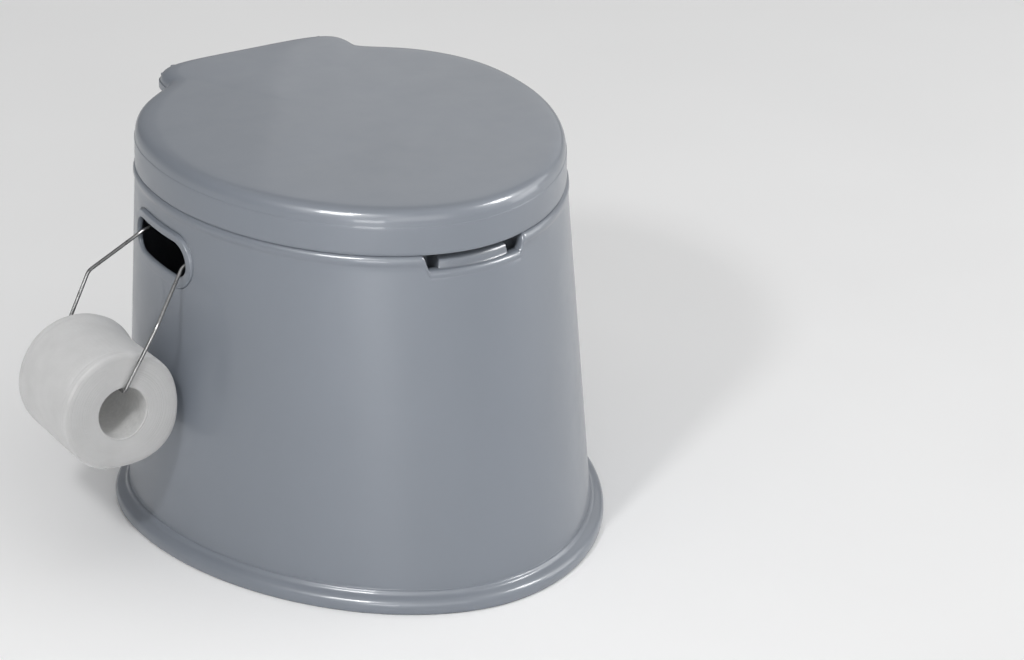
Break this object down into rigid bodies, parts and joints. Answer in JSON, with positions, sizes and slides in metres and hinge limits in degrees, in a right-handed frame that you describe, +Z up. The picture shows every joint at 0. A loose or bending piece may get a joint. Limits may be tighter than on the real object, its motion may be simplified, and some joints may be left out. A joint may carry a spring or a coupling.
{
  "type": "portable camp toilet",
  "caption": "Portable camp toilet: oval plastic body with a lift-out bucket, hinged seat and lid, and a wire toilet-roll holder hooked into a side handle opening.",
  "frame": {"origin": "middle of the foot, on the floor", "axes": "+Z up, front towards -Y, the toilet roll on the -X side"},
  "size_m": [0.5116, 0.4721, 0.3516],
  "materials": {
    "grey_plastic": "satin-gloss moulded plastic",
    "black_plastic": "glossy moulded plastic",
    "steel": "drawn wire",
    "cardboard": "matt grey board",
    "paper": "soft white tissue"
  },
  "bodies": {
    "body": {"outer_body": "grey_plastic", "hinge_pin_left": "steel", "hinge_pin_right": "steel", "inner_bucket": "black_plastic", "bucket_lid": "black_plastic"},
    "seat": {"seat": "grey_plastic"},
    "lid": {"lid": "grey_plastic"},
    "holder": {"roll_holder": "steel"},
    "roll": {"roll_core": "cardboard", "toilet_paper": "paper"}
  },
  "joints": [
    {"name": "seat_hinge", "type": "hinge", "parent": "body", "child": "seat", "pos_m": [0, 0.234, 0.332], "axis": [-1, 0, 0], "range_deg": [0, 95]},
    {"name": "lid_hinge", "type": "hinge", "parent": "seat", "child": "lid", "pos_m": [0, 0.234, 0.332], "axis": [-1, 0, 0], "range_deg": [0, 100]},
    {"name": "holder_swing", "type": "hinge", "parent": "body", "child": "holder", "pos_m": [-0.169, 0.0465, 0.267], "axis": [0, 1, 0], "range_deg": [0, 50]},
    {"name": "roll_spin", "type": "hinge", "parent": "holder", "child": "roll", "pos_m": [-0.24757, 0.036, 0.1505], "axis": [0, 1, 0], "continuous": true}
  ]
}
